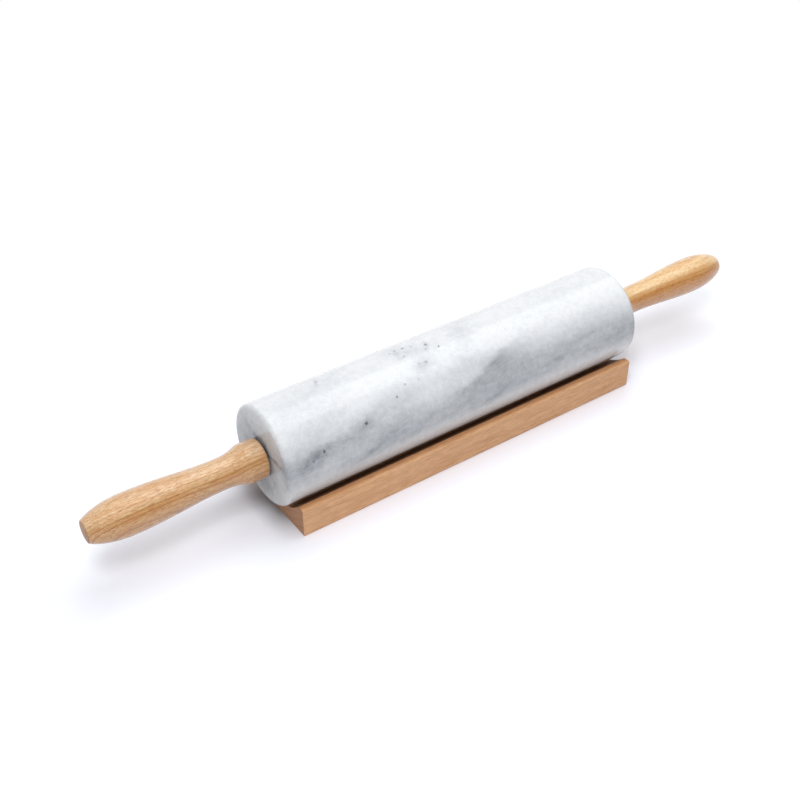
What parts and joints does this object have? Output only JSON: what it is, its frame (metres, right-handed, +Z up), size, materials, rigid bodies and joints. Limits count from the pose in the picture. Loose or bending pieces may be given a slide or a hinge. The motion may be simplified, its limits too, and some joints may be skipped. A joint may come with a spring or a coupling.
{
  "type": "rolling pin",
  "caption": "Marble rolling pin that turns on a steel axle between turned wooden handles, resting in a wooden cradle with a round trough.",
  "frame": {"origin": "middle of the cradle's underside, on the surface that the cradle stands on", "axes": "+X along the pin's rolling axis towards its right handle, +Z up, +Y across the cradle"},
  "size_m": [0.46, 0.0666, 0.0674],
  "materials": {
    "cradle_wood": "sanded and oiled, matte",
    "marble": "polished",
    "bushing_plastic": "matte",
    "axle_steel": "drawn bar, plain",
    "washer_steel": "plain",
    "insert_brass": "turned",
    "handle_wood": "clear lacquer, gloss"
  },
  "bodies": {
    "cradle": {"cradle_block": "cradle_wood"},
    "handles": {"axle_rod": "axle_steel", "left_washer": "washer_steel", "right_washer": "washer_steel", "left_insert": "insert_brass", "right_insert": "insert_brass", "left_handle": "handle_wood", "right_handle": "handle_wood"},
    "barrel": {"marble_barrel": "marble", "left_bushing": "bushing_plastic", "right_bushing": "bushing_plastic"}
  },
  "joints": [
    {"name": "pin_lift", "type": "slide", "parent": "cradle", "child": "handles", "axis": [0, 0, 1], "range_m": [0, 0.06]},
    {"name": "barrel_roll", "type": "hinge", "parent": "handles", "child": "barrel", "pos_m": [0, 0, 0.03715], "axis": [1, 0, 0], "continuous": true}
  ]
}
